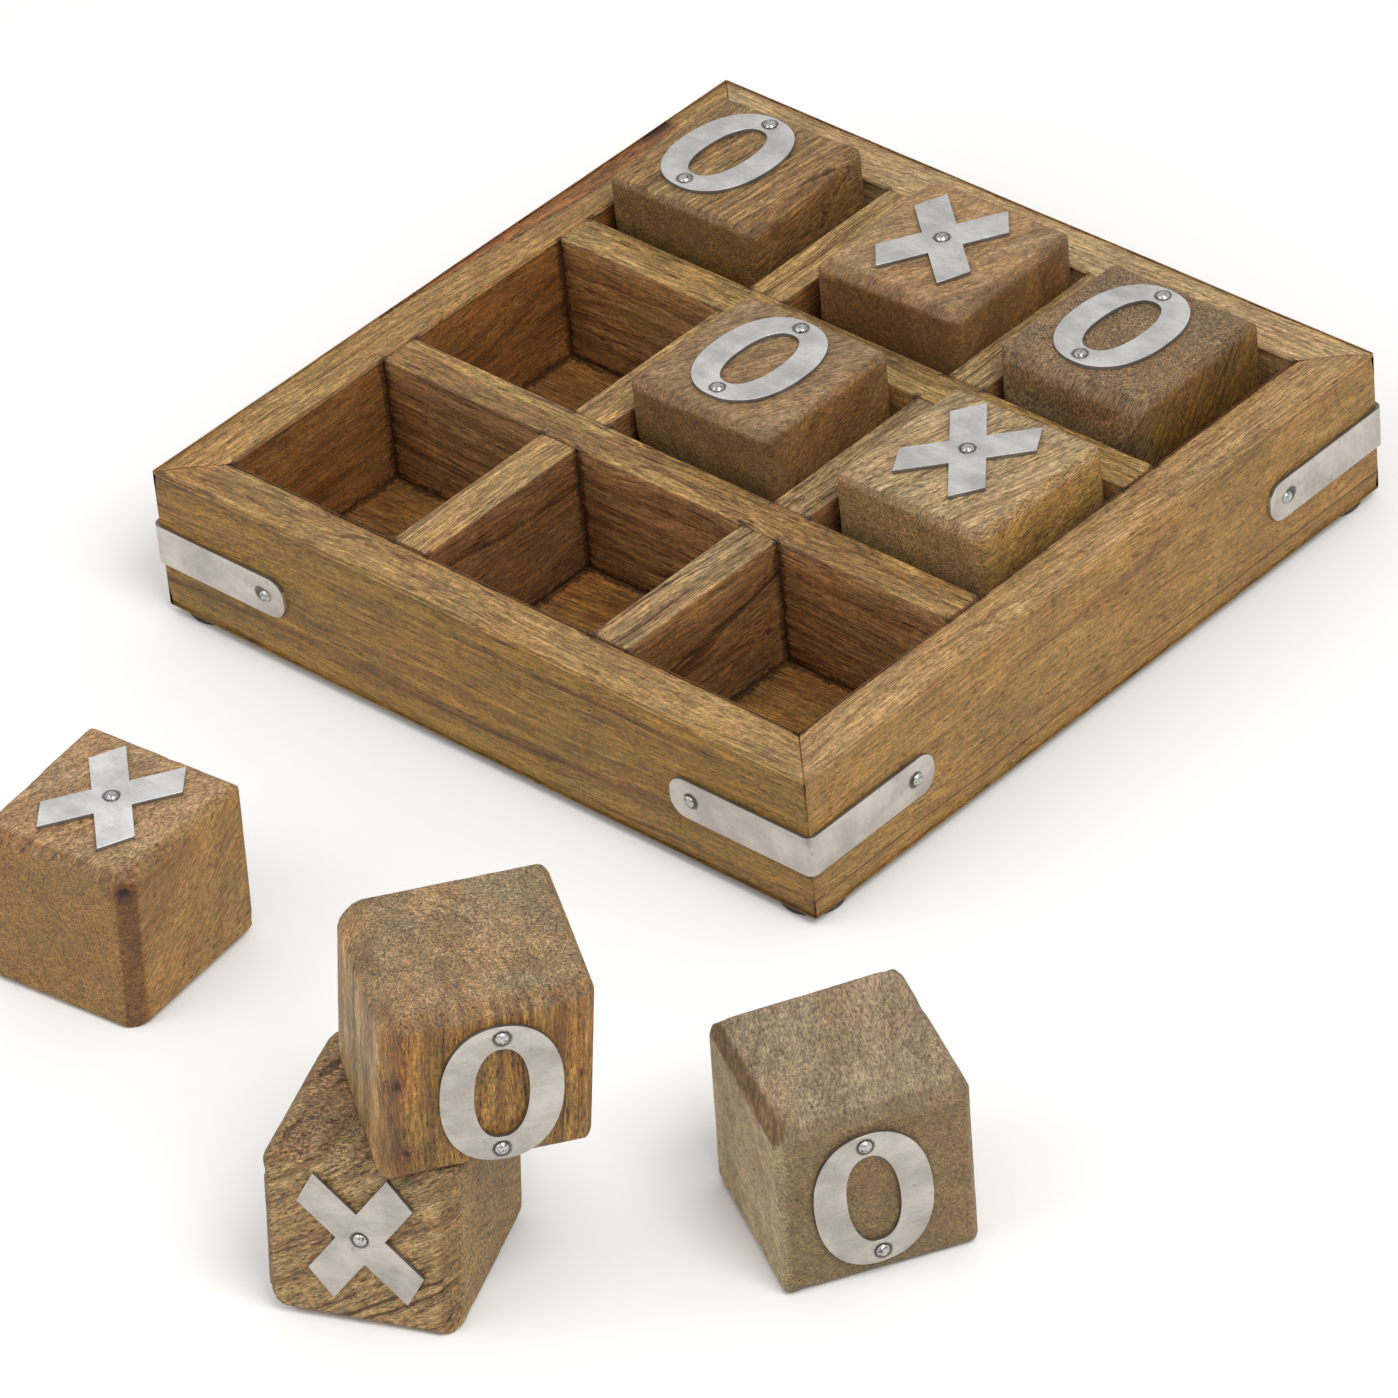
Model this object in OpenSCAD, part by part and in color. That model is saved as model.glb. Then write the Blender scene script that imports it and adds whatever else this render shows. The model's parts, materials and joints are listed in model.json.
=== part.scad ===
// Tic tac toe set in wood and sheet metal. A square tray has nine cells, four mitred
// rails, lapped dividers and a metal strap around each corner. Nine wooden blocks carry
// a nailed metal plate each: five an O and four an X. Five blocks sit in the tray, one
// stands beside it, one lies to its left, and two are stacked in front of it.
// Millimetres, +Z up, table at z = 0. The tray's front rail faces -Y, its right rail +X.
// The origin is on the table, under the middle of everything.

/* [Tray] */
// Outer side of the square tray
tray_side = 178; // [170:1:190]
// Height of the rails
rail_height = 34; // [32:0.5:40]
// Width of a rail, seen from above
rail_width = 12; // [10:0.5:13]
// Radius of the tray's four upright corners
rail_corner_r = 1; // [0.5:0.1:2]
// Width of a divider
divider_width = 9.6; // [8:0.2:10]
// Thickness of the base panel
base_thickness = 4; // [3:0.5:6]
// How far the base panel reaches into the rails
rebate_depth = 5; // [3:0.5:7]

/* [Feet] */
// Diameter of a foot pad
foot_diameter = 13.4; // [10:0.2:14]
// Thickness of a foot pad
foot_thickness = 2; // [1:0.5:4]
// Distance from the tray's side to a foot's centre
foot_inset = 7.6; // [7.2:0.2:12]

/* [Corner straps] */
// Length of each leg, from the tray's corner
strap_leg = 36.2; // [30:0.5:45]
// Height of the strip
strap_height = 9.4; // [8:0.2:12]
// Thickness of the strip
strap_thickness = 0.9; // [0.8:0.1:1.5]
// Radius of the two corners at a leg's end
strap_end_r = 4; // [2:0.5:4]
// Height of the strip's centre above the rails' underside
strap_centre = 16.1; // [12:0.1:20]
// Distance from a leg's end to its nail
strap_nail_inset = 5.2; // [4.5:0.1:8]

/* [Blocks] */
// Side of a block as designed
block_size = 38.5; // [37:0.1:38.8]
// Width of the chamfer along a block's edges
block_chamfer = 2.2; // [1:0.1:3]

/* [Plates] */
// Thickness of a letter plate
plate_thickness = 1; // [0.8:0.1:1.5]
// Width of the O
o_width = 23.4; // [20:0.2:26]
// Height of the O
o_height = 31; // [28:0.5:32]
// Width of the O's two side strokes
o_side = 6.5; // [5:0.1:8]
// Width of the O at its two ends
o_end = 5.2; // [4.6:0.1:6]
// Squareness of the O's outline, where 2 is an ellipse
o_squareness = 2.25; // [2:0.05:2.8]
// Half the width of the X
x_half_width = 11.5; // [9:0.1:13]
// Half the height of the X
x_half_height = 14.6; // [12:0.1:15.5]
// Angle of the X's strokes above the horizontal
x_angle = 50; // [47:1:53]
// Width of the X's strokes
x_stroke = 7.5; // [6:0.1:8]

/* [Nails] */
// Diameter of a nail's shank
shank_diameter = 1.4; // [1:0.1:1.6]
// Depth of a nail in the wood
nail_depth = 8; // [5:0.5:9]
// Diameter of a nail's head
head_diameter = 2.9; // [2.4:0.1:3.4]
// Height of a nail's domed head
head_height = 0.9; // [0.6:0.1:1.2]

/* [Hidden] */
$fn = 48;

// A cut reaches this far past the face it opens.
past = 1;
// The wood is bored this much wider than a shank, on the radius.
nail_clearance = 0.02;

half = tray_side / 2;
tray_inside = tray_side - 2 * rail_width;
cell = (tray_inside - 2 * divider_width) / 3;
pitch = cell + divider_width;
tray_floor = foot_thickness + base_thickness;
tray_top = foot_thickness + rail_height;
divider_height = rail_height - base_thickness;

// The tray's centre, seen from the origin.
tray_x = -42.1;
tray_y = 72.2;

// Each corner and rail is one design, turned by quarters from the front one.
CORNERS = ["front_right", "back_right", "back_left", "front_left"];
RAILS = ["front", "right", "back", "left"];

// Where each block is: its place, its letter, its centre seen from the tray's centre,
// the height of its underside and its turn about Z. Then how much wider and taller it is
// than the design, how far its top is off its bottom in X and Y, whether it stands with
// its plate facing sideways, and the plate's shift and turn on its face. The blocks are
// sawn and nailed by hand, so each differs.
BLOCKS = [
    ["back_left", "o", [-56.2, 56.2], tray_floor, 2.2, [0.2, 0.6], [0, 0], false, [-2.7, 0.7], -5],
    ["back_middle", "x", [0.5, 57], tray_floor, 0.8, [-0.2, 1], [0, 0], false, [-0.8, 1], 9],
    ["back_right", "o", [52.2, 54.5], tray_floor, 1.5, [0, 1], [0, 0], false, [-1.8, 0.7], -3],
    ["centre", "o", [-2.6, 2.6], tray_floor, 0.7, [-0.2, 0.8], [0, 0], false, [-0.2, 0.7], -1],
    ["middle_right", "x", [54, 2.2], tray_floor, 0.5, [0.4, 0.8], [0, 0], false, [-1.4, 1.6], -1],
    ["table_left", "x", [-16.5, -175.3], 0, 7, [-0.8, -1.2], [1, 1], false, [0.8, 1.4], 1],
    ["stack_lower", "x", [91.5, -210.2], 0, 23.6, [-0.4, -0.2], [2, 2], true, [0.7, 2], 3],
    ["stack_upper", "o", [103.7, -198.8], block_size - 0.2, 55.4, [1.7, -2.2], [2.5, 2.5], true, [2.2, -1.2], -5],
    ["table_right", "o", [149.5, -149], 0, 61, [0.3, 0], [0.4, 0.4], true, [-1.3, -0.4], 4],
];
PLACE = 0;
LETTER = 1;
CENTRE = 2;
UNDERSIDE = 3;
TURN = 4;
EXTRA = 5;
LEAN = 6;
STANDING = 7;
PLATE_SHIFT = 8;
PLATE_TURN = 9;

// A square with round corners, centred on the axis.
module round_square(side, r) {
    square([side - 2 * r, side], center = true);
    square([side, side - 2 * r], center = true);
    for (x = [-1, 1], y = [-1, 1])
        translate([x * (side / 2 - r), y * (side / 2 - r)])
            circle(r);
}

// Puts its children, drawn for the tray's centre, where the tray stands.
module on_tray(z = 0) {
    translate([tray_x, tray_y, z])
        children();
}

// A shank's hole, open at z = 0 and going down.
module nail_hole(depth) {
    translate([0, 0, -depth])
        cylinder(d = shank_diameter + 2 * nail_clearance, h = depth + past);
}

// A nail with its head on z = 0 and its shank going down.
module nail(depth) {
    dome_r = (pow(head_diameter / 2, 2) + pow(head_height, 2)) / (2 * head_height);
    translate([0, 0, -depth])
        cylinder(d = shank_diameter, h = depth + head_height / 2);
    intersection() {
        translate([0, 0, head_height - dome_r])
            sphere(dome_r);
        cylinder(d = head_diameter + past, h = head_height + past);
    }
}

// ---- Tray ----

// The places of one corner's two nails, seen from the tray's centre, each turned so
// that its own +Z points out of the rail.
module at_strap_nails(standoff) {
    along = half - strap_leg + strap_nail_inset;
    height = foot_thickness + strap_centre;
    translate([along, -half - standoff, height])
        rotate([90, 0, 0])
            children();
    translate([half + standoff, -along, height])
        rotate([0, 90, 0])
            children();
}

// The front rail, cut at 45 degrees at both ends and rebated inside for the base panel.
module front_rail() {
    difference() {
        translate([0, 0, foot_thickness])
            linear_extrude(rail_height)
                intersection() {
                    difference() {
                        round_square(tray_side, rail_corner_r);
                        square(tray_inside, center = true);
                    }
                    polygon([[0, 0], [tray_side, -tray_side], [-tray_side, -tray_side]]);
                }
        translate([0, 0, foot_thickness - past])
            linear_extrude(base_thickness + past)
                square(tray_inside + 2 * rebate_depth, center = true);
        for (quarter = [0, -90])
            rotate(quarter)
                at_strap_nails(0)
                    nail_hole(nail_depth);
    }
}

module rail(quarter) {
    color([0.62, 0.43, 0.25])
        on_tray()
            rotate(90 * quarter)
                front_rail();
}

module base_panel() {
    color([0.45, 0.28, 0.16])
        on_tray(foot_thickness)
            linear_extrude(base_thickness)
                square(tray_inside + 2 * rebate_depth, center = true);
}

// A divider along X. Its two half-deep notches open downwards or upwards.
module divider_blank(notch_from) {
    difference() {
        translate([-tray_inside / 2, -divider_width / 2, tray_floor])
            cube([tray_inside, divider_width, divider_height]);
        for (side = [-1, 1])
            translate([side * pitch / 2 - divider_width / 2, -divider_width, notch_from])
                cube([divider_width, 2 * divider_width, divider_height / 2 + past]);
    }
}

// The long dividers run unbroken along the top.
module long_divider(side) {
    color([0.68, 0.50, 0.30])
        on_tray()
            translate([0, side * pitch / 2, 0])
                divider_blank(tray_floor - past);
}

// The cross dividers pass under them.
module cross_divider(side) {
    color([0.66, 0.48, 0.29])
        on_tray()
            translate([side * pitch / 2, 0, 0])
                rotate(90)
                    divider_blank(tray_floor + divider_height / 2);
}

// One leg of a strap lying flat, from x = 0 to its end with two round corners.
module strap_leg_outline(length) {
    translate([0, -strap_height / 2])
        square([length - strap_end_r, strap_height]);
    translate([0, strap_end_r - strap_height / 2])
        square([length, strap_height - 2 * strap_end_r]);
    for (y = [-1, 1])
        translate([length - strap_end_r, y * (strap_height / 2 - strap_end_r)])
            circle(strap_end_r);
}

// The strap of the front right corner: two legs and the bend between them.
module corner_strap() {
    straight = strap_leg - rail_corner_r;
    height = foot_thickness + strap_centre;
    bend = half - rail_corner_r;
    difference() {
        union() {
            translate([bend, -half, height])
                rotate([90, 0, 0])
                    mirror([1, 0, 0])
                        linear_extrude(strap_thickness)
                            strap_leg_outline(straight);
            translate([half, -bend, height])
                rotate([90, 0, 90])
                    linear_extrude(strap_thickness)
                        strap_leg_outline(straight);
            translate([bend, -bend, height - strap_height / 2])
                linear_extrude(strap_height)
                    intersection() {
                        difference() {
                            circle(rail_corner_r + strap_thickness);
                            circle(rail_corner_r);
                        }
                        translate([0, -half])
                            square(half);
                    }
        }
        at_strap_nails(strap_thickness)
            nail_hole(strap_thickness + past);
    }
}

module strap(quarter) {
    color([0.78, 0.79, 0.80])
        on_tray()
            rotate(90 * quarter)
                corner_strap();
}

module strap_nails(quarter) {
    color([0.70, 0.71, 0.73])
        on_tray()
            rotate(90 * quarter)
                at_strap_nails(strap_thickness)
                    nail(strap_thickness + nail_depth - 0.5);
}

module foot(quarter) {
    color([0.20, 0.15, 0.11])
        on_tray()
            rotate(90 * quarter)
                translate([half - foot_inset, foot_inset - half, 0])
                    cylinder(d = foot_diameter, h = foot_thickness);
}

// ---- Blocks ----

// A block's width, seen from above, and its height.
function width(b) = block_size + b[EXTRA][0];
function height(b) = block_size + b[EXTRA][1];

// Puts its children, drawn around a block's middle, where block b is.
module at_block(b) {
    on_tray(b[UNDERSIDE] + height(b) / 2)
        translate(b[CENTRE])
            rotate(b[TURN])
                children();
}

// Shifts its children's top by lean against their bottom, in X and Y of the block.
module leaning(lean, h) {
    multmatrix([
        [1, 0, lean[0] / h, 0],
        [0, 1, lean[1] / h, 0],
        [0, 0, 1, 0],
        [0, 0, 0, 1]
    ])
        children();
}

// The lean of block b along its own X and Y.
function own_lean(b) = [
    b[LEAN][0] * cos(b[TURN]) + b[LEAN][1] * sin(b[TURN]),
    b[LEAN][1] * cos(b[TURN]) - b[LEAN][0] * sin(b[TURN])
];

// Puts its children, drawn for a plate lying on z = 0, where block b has its plate. On a
// standing block the plate lies flat on a side that leans a little.
module on_plate_face(b) {
    tilt = b[STANDING] ? atan(own_lean(b)[1] / height(b)) : 0;
    at_block(b)
        rotate([b[STANDING] ? 90 - tilt : 0, 0, 0])
            translate([0, 0, b[STANDING] ? width(b) / 2 * cos(tilt) : height(b) / 2])
                translate(b[PLATE_SHIFT])
                    rotate(b[PLATE_TURN])
                        children();
}

// A bar along Z with its four long edges chamfered.
module chamfered_bar(x, y, z) {
    c = block_chamfer;
    linear_extrude(z, center = true)
        polygon([
            [x / 2 - c, -y / 2], [x / 2, c - y / 2], [x / 2, y / 2 - c], [x / 2 - c, y / 2],
            [c - x / 2, y / 2], [-x / 2, y / 2 - c], [-x / 2, c - y / 2], [c - x / 2, -y / 2]
        ]);
}

// The wood is the space common to three chamfered bars, so all twelve edges are cut.
module block(b) {
    w = width(b);
    h = height(b);
    color([0.60, 0.42, 0.26])
        difference() {
            at_block(b)
                leaning(own_lean(b), h)
                    intersection() {
                        chamfered_bar(w, w, h);
                        rotate([90, 0, 0])
                            chamfered_bar(w, h, w);
                        rotate([0, 90, 0])
                            chamfered_bar(h, w, w);
                    }
            on_plate_face(b)
                at_plate_nails(b)
                    nail_hole(nail_depth + 0.5);
        }
}

// The places of a plate's nails: two on the O's long axis, one at the X's crossing.
module at_plate_nails(b) {
    o_nail = (o_height - o_end) / 2;
    for (y = b[LETTER] == "o" ? [-o_nail, o_nail] : [0])
        translate([0, y, 0])
            children();
}

// A rounded oval with half sides a and b, drawn as a superellipse.
function oval(a, b) = [
    for (t = [0:5:355])
        [
            a * sign(cos(t)) * pow(abs(cos(t)), 2 / o_squareness),
            b * sign(sin(t)) * pow(abs(sin(t)), 2 / o_squareness)
        ]
];

module o_outline() {
    difference() {
        polygon(oval(o_width / 2, o_height / 2));
        polygon(oval(o_width / 2 - o_side, o_height / 2 - o_end));
    }
}

// One arm's end, in the upper right quarter: where the stroke's two edges meet the
// half height and the half width.
function arm_end() = [
    [(x_half_height - x_stroke / 2 / cos(x_angle)) / tan(x_angle), x_half_height],
    [x_half_width, x_half_width * tan(x_angle) - x_stroke / 2 / cos(x_angle)]
];

// The X: two crossed strokes with slanting ends, the same in all four quarters.
module x_outline() {
    notch_y = x_stroke / 2 / cos(x_angle);
    notch_x = x_stroke / 2 / sin(x_angle);
    upper = arm_end()[0];
    lower = arm_end()[1];
    quarters = [[1, 1], [1, -1], [-1, -1], [-1, 1]];
    polygon([
        for (i = [0:3])
            for (p = i % 2 == 0
                ? [[0, notch_y], upper, lower, [notch_x, 0]]
                : [[notch_x, 0], lower, upper, [0, notch_y]])
                if (!(p[0] == 0 && i % 2 == 1) && !(p[1] == 0 && i % 2 == 1))
                    [p[0] * quarters[i][0], p[1] * quarters[i][1]]
    ]);
}

module plate(b) {
    color([0.80, 0.81, 0.82])
        on_plate_face(b)
            difference() {
                linear_extrude(plate_thickness)
                    if (b[LETTER] == "o")
                        o_outline();
                    else
                        x_outline();
                translate([0, 0, plate_thickness])
                    at_plate_nails(b)
                        nail_hole(plate_thickness + past);
            }
}

module plate_nails(b) {
    color([0.70, 0.71, 0.73])
        on_plate_face(b)
            translate([0, 0, plate_thickness])
                at_plate_nails(b)
                    nail(plate_thickness + nail_depth);
}

for (i = [0:3]) {
    rail(i);
    strap(i);
    strap_nails(i);
    foot(i);
}
base_panel();
long_divider(-1);  // long_divider_front
long_divider(1);  // long_divider_back
cross_divider(-1);  // cross_divider_left
cross_divider(1);  // cross_divider_right
for (b = BLOCKS) {
    block(b);
    plate(b);
    plate_nails(b);
}
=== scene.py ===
"""Looks of a wooden tic tac toe set with sheet-metal letters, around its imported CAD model.

Every piece is remade from its CAD node: its place and size come from that node's mesh.
Lengths are metres, and the shaders work in millimetres.
"""

import json
import math
import random
from itertools import combinations, product
from types import SimpleNamespace

import bmesh
import bpy
import numpy as np
from mathutils import Matrix, Vector, noise


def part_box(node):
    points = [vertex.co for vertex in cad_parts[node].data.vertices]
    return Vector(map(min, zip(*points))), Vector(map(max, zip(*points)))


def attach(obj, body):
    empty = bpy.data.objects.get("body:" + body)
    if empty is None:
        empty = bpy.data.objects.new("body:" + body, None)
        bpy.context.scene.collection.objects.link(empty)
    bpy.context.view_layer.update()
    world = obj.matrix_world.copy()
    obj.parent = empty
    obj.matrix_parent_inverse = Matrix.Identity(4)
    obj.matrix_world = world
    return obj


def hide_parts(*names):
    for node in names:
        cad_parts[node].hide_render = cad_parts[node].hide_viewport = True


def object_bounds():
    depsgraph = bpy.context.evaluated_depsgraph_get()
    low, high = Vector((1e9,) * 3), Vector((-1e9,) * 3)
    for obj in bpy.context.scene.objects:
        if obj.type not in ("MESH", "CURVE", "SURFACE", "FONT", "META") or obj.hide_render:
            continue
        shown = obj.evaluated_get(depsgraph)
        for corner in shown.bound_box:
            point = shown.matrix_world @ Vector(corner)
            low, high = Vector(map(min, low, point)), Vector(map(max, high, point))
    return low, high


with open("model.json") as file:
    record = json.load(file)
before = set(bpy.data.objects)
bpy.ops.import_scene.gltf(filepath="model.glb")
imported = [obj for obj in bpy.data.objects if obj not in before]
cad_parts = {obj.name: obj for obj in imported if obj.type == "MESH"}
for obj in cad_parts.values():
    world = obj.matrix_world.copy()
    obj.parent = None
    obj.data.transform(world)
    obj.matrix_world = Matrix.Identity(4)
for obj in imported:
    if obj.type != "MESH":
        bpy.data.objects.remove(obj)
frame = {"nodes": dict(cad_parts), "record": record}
cad_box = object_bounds()

MM = 0.001
NODES = frame["nodes"]
BODIES = frame["record"]["behaviour"]["bodies"]
BODY_OF = {node: body for body, names in BODIES.items() for node in names}

rail_boxes = [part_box("rail_" + side) for side in ("front", "right", "back", "left")]
tray_box = (
    [min(box[0][axis] for box in rail_boxes) for axis in range(3)],
    [max(box[1][axis] for box in rail_boxes) for axis in range(3)],
)

# Each face's colour as 0-255 display values, with painted light and shade in it, such as
# lighter tops and darker walls inside the tray.
SHADED_TONES = {
    "rail_front": {"out": (133, 99, 35), "top": (159, 126, 75), "in": (99, 70, 41)},
    "rail_right": {"out": (145, 109, 53), "top": (159, 125, 80), "in": (99, 66, 37)},
    "rail_back": {"out": (145, 112, 70), "top": (172, 144, 101), "in": (165, 133, 91)},
    "rail_left": {"out": (148, 114, 72), "top": (152, 119, 69), "in": (134, 87, 39)},
    "long_divider_front": {"side": (140, 100, 58), "top": (152, 120, 69)},
    "long_divider_back": {"side": (145, 105, 58), "top": (144, 116, 67)},
    "cross_divider_left": {"side": (124, 84, 46), "top": (163, 132, 83)},
    "cross_divider_right": {"side": (142, 102, 59), "top": (151, 124, 83)},
    "base_panel": {"side": (96, 66, 36), "top": (133, 93, 43)},
}
# A block's faces are named as in main_planes. Its other faces get the mean of these.
# These colours hold painted light and shade too, such as between a block's top and its sides.
SHADED_BLOCK_TONES = {
    "back_left": {"front": (114, 82, 40), "top": (141, 112, 70), "right": (125, 93, 50)},
    "back_middle": {"front": (117, 80, 41), "top": (151, 121, 84), "right": (130, 92, 51)},
    "back_right": {"front": (130, 102, 70), "top": (126, 101, 71), "right": (113, 81, 30)},
    "centre": {"front": (118, 87, 50), "top": (141, 113, 78), "right": (134, 97, 56)},
    "middle_right": {"front": (143, 112, 71), "top": (162, 137, 99), "right": (155, 119, 62)},
    "table_left": {"front": (136, 100, 49), "top": (160, 128, 91), "right": (149, 111, 57)},
    "stack_lower": {"front": (148, 120, 77), "top": (143, 115, 80), "right": (139, 111, 65)},
    "stack_upper": {"front": (133, 96, 41), "top": (140, 116, 84), "left": (154, 125, 80)},
    "table_right": {"front": (120, 97, 64), "top": (144, 124, 97), "left": (170, 149, 112)},
}


def linear(display):
    """A 0-255 display colour as linear light."""
    share = np.array(display) / 255
    return np.where(share > 0.04045, ((share + 0.055) / 1.055) ** 2.4, share / 12.92)


# ---- Shader graphs ----


class Graph:
    """A material whose nodes are made by short calls, most of which return a socket."""

    def __init__(self, name):
        self.material = bpy.data.materials.new(name)
        self.material.use_nodes = True
        self.tree = self.material.node_tree
        self.tree.nodes.clear()

    def feed(self, inputs, feeds):
        """Links sockets, and sets plain values."""
        for key, value in dict(feeds).items():
            if isinstance(value, bpy.types.NodeSocket):
                self.tree.links.new(value, inputs[key])
            else:
                inputs[key].default_value = value

    def node(self, kind, feeds=(), **settings):
        made = self.tree.nodes.new("ShaderNode" + kind)
        for key, value in settings.items():
            setattr(made, key, value)
        self.feed(made.inputs, feeds)
        return made

    def math(self, operation, a, b=0.0, c=0.0):
        return self.node("Math", {0: a, 1: b, 2: c}, operation=operation).outputs[0]

    def times(self, a, b):
        return self.math("MULTIPLY", a, b)

    def size(self, value):
        return self.math("ABSOLUTE", value)

    def invert(self, value):
        return self.math("SUBTRACT", 1.0, value)

    def line(self, value, slope, start):
        """The value times a slope, plus a start."""
        return self.math("MULTIPLY_ADD", value, slope, start)

    def ragged(self, value, bumps, amount):
        """The value moved up and down by a noise around 0.5."""
        return self.line(self.math("SUBTRACT", bumps, 0.5), amount, value)

    def swing(self, bumps, amount):
        """A factor around 1 from a noise around 0.5."""
        return self.ragged(1.0, bumps, amount)

    def band(self, value, low, high):
        """0 below low, 1 above high, and smooth between."""
        feeds = {"Value": value, "From Min": low, "From Max": high}
        return self.node("MapRange", feeds, interpolation_type="SMOOTHSTEP").outputs[0]

    def vector(self, operation, a, b, output=0):
        return self.node("VectorMath", {0: a, 1: b}, operation=operation).outputs[output]

    def scaled(self, where, scale):
        return self.vector("MULTIPLY", where, scale)

    def length(self, where):
        return self.node("VectorMath", {0: where}, operation="LENGTH").outputs["Value"]

    def split(self, where):
        """The x, y and z of a vector."""
        return self.node("SeparateXYZ", {0: where}).outputs

    def noise(self, where, scale=None, detail=2.0, roughness=0.5, output="Fac"):
        """Noise with scale bumps a millimetre along each axis, or 1 without a scale."""
        if scale is not None:
            where = self.scaled(where, scale)
        feeds = {"Vector": where, "Scale": 1.0, "Detail": detail, "Roughness": roughness}
        return self.node("TexNoise", feeds).outputs[output]

    def line_noise(self, along, detail, roughness):
        feeds = {"W": along, "Scale": 1.0, "Detail": detail, "Roughness": roughness}
        return self.node("TexNoise", feeds, noise_dimensions="1D").outputs["Fac"]

    def mix(self, share, a, b, blend="MIX"):
        made = self.node("Mix", data_type="RGBA", blend_type=blend)
        sockets = {socket.name: socket for socket in made.inputs if socket.enabled}
        self.feed(sockets, {"Factor": share, "A": a, "B": b})
        return next(socket for socket in made.outputs if socket.enabled)

    def tint(self, share, paint, factor):
        """The paint multiplied by a colour, as far as the share says."""
        return self.mix(share, paint, factor, "MULTIPLY")

    def grey(self, shade):
        return self.node("CombineColor", {0: shade, 1: shade, 2: shade}).outputs[0]

    def attribute(self, name, output):
        return self.node("Attribute", attribute_name=name).outputs[output]

    def millimetres(self, centre=(0, 0, 0), turn=(0, 0, 0)):
        """Millimetres from centre, along axes turned by the Euler angles in turn."""
        where = self.node("TexCoord").outputs["Object"]
        feeds = {"Vector": where, "Location": centre, "Rotation": turn, "Scale": (MM,) * 3}
        return self.node("Mapping", feeds, vector_type="TEXTURE").outputs[0]

    def finish(self, height, depth, strength, **shader):
        """Ends the graph with a Principled shader and a bump of that depth, in mm."""
        feeds = {"Height": height, "Distance": depth * MM, "Strength": strength}
        bump = self.node("Bump", feeds)
        feeds = {key.replace("_", " "): value for key, value in shader.items()}
        feeds["Normal"] = bump.outputs[0]
        made = self.node("BsdfPrincipled", feeds)
        output = self.node("OutputMaterial")
        self.tree.links.new(made.outputs[0], output.inputs[0])
        return self.material


def colour(r, g, b):
    return (r, g, b, 1.0)


# The usual figure of the wood. A piece names what is different on it. Lengths are
# millimetres, and the rest are strengths unless a comment says otherwise.
WOOD = dict(
    pith=(55, 38),  # how far off the tree's pith is, along both directions across the grain
    gap=3.2,  # between growth lines
    warp=12.0,  # how far the growth lines wander
    streaks=0.45,  # broad dark and pale bands
    lines=0.5,  # thin dark lines
    flecks=0.55,  # short dark dashes
    fleck_scale=1.45,  # flecks a millimetre, across the grain
    pores=0.6,  # open pores
    fibres=1.0,  # the contrast of fine fibres
    blotches=0.5,  # warm and cool clouds
)
PORE_LENGTH = 3.2
STRETCHED_FLECK = 0.062  # a fleck's width as a share of its length
THIN_LINES = 2.6  # thin lines for each broad streak


def wood_figure(g, place, seed, look):
    """The wood's noises and the masks of its marks, with the grain along the place's x."""
    own = g.vector("ADD", place, (seed * 71.3, seed * 29.9, seed * 47.1))
    sway = g.noise(own, (0.010, 0.034, 0.034), 2.5, 0.55, "Color")
    sway = g.vector("SUBTRACT", sway, (0.5, 0.5, 0.5))
    sway = g.scaled(sway, (0.0, look.warp, look.warp))
    bent = g.vector("ADD", own, sway)

    # Growth lines are near circles round a far pith.
    from_pith = g.vector("ADD", g.vector("ADD", place, sway), (0, *look.pith))
    ring = g.length(g.scaled(from_pith, (0, 1, 1)))
    jitter = g.noise(own, (0.06, 0.5, 0.5))
    ring = g.math("ADD", ring, g.times(jitter, 1.6))
    broad = g.line_noise(g.line(ring, 1 / look.gap, seed * 3.7), 4.0, 0.68)
    thin = g.line_noise(g.line(ring, THIN_LINES / look.gap, seed * 9.1), 2.0, 0.5)
    comes = g.band(g.noise(own, (0.025, 0.14, 0.14), 3.0), 0.44, 0.60)

    scale = look.fleck_scale
    fleck = g.scaled(bent, (STRETCHED_FLECK * scale, scale, scale))
    fleck = g.noise(g.vector("ADD", fleck, (7.0, 3.0, 5.0)), None, 3.0, 0.6)
    cells = g.scaled(bent, (1 / PORE_LENGTH, 1.45, 1.45))
    pore = g.node("TexVoronoi", {"Vector": cells, "Scale": 1.0}).outputs["Distance"]
    pore_size = g.line(g.noise(own, (0.02, 0.25, 0.25)), 0.40, 0.03)
    return SimpleNamespace(
        sway=sway,
        pale=g.band(broad, 0.34, 0.62),
        thin=g.times(g.band(thin, 0.58, 0.68), comes),
        fibre=g.band(g.noise(bent, (0.05, 1.30, 1.30), 4.0, 0.75), 0.30, 0.70),
        fine=g.band(g.noise(bent, (0.16, 3.0, 3.0), 3.0, 0.78), 0.36, 0.64),
        fleck=g.band(fleck, 0.585, 0.68),
        pore=g.invert(g.band(g.math("DIVIDE", pore, pore_size), 0.55, 1.25)),
        cloud=g.noise(own, (0.035, 0.07, 0.07), 3.0, 0.6),
        stain=g.noise(own, (0.08, 0.13, 0.11), 4.0, 0.68),
        grime=g.noise(own, (0.9, 0.8, 0.7), 3.0, 0.7),
        grit=g.band(g.noise(own, (2.2, 2.4, 2.3), 2.0, 0.8), 0.36, 0.64),
    )


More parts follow.
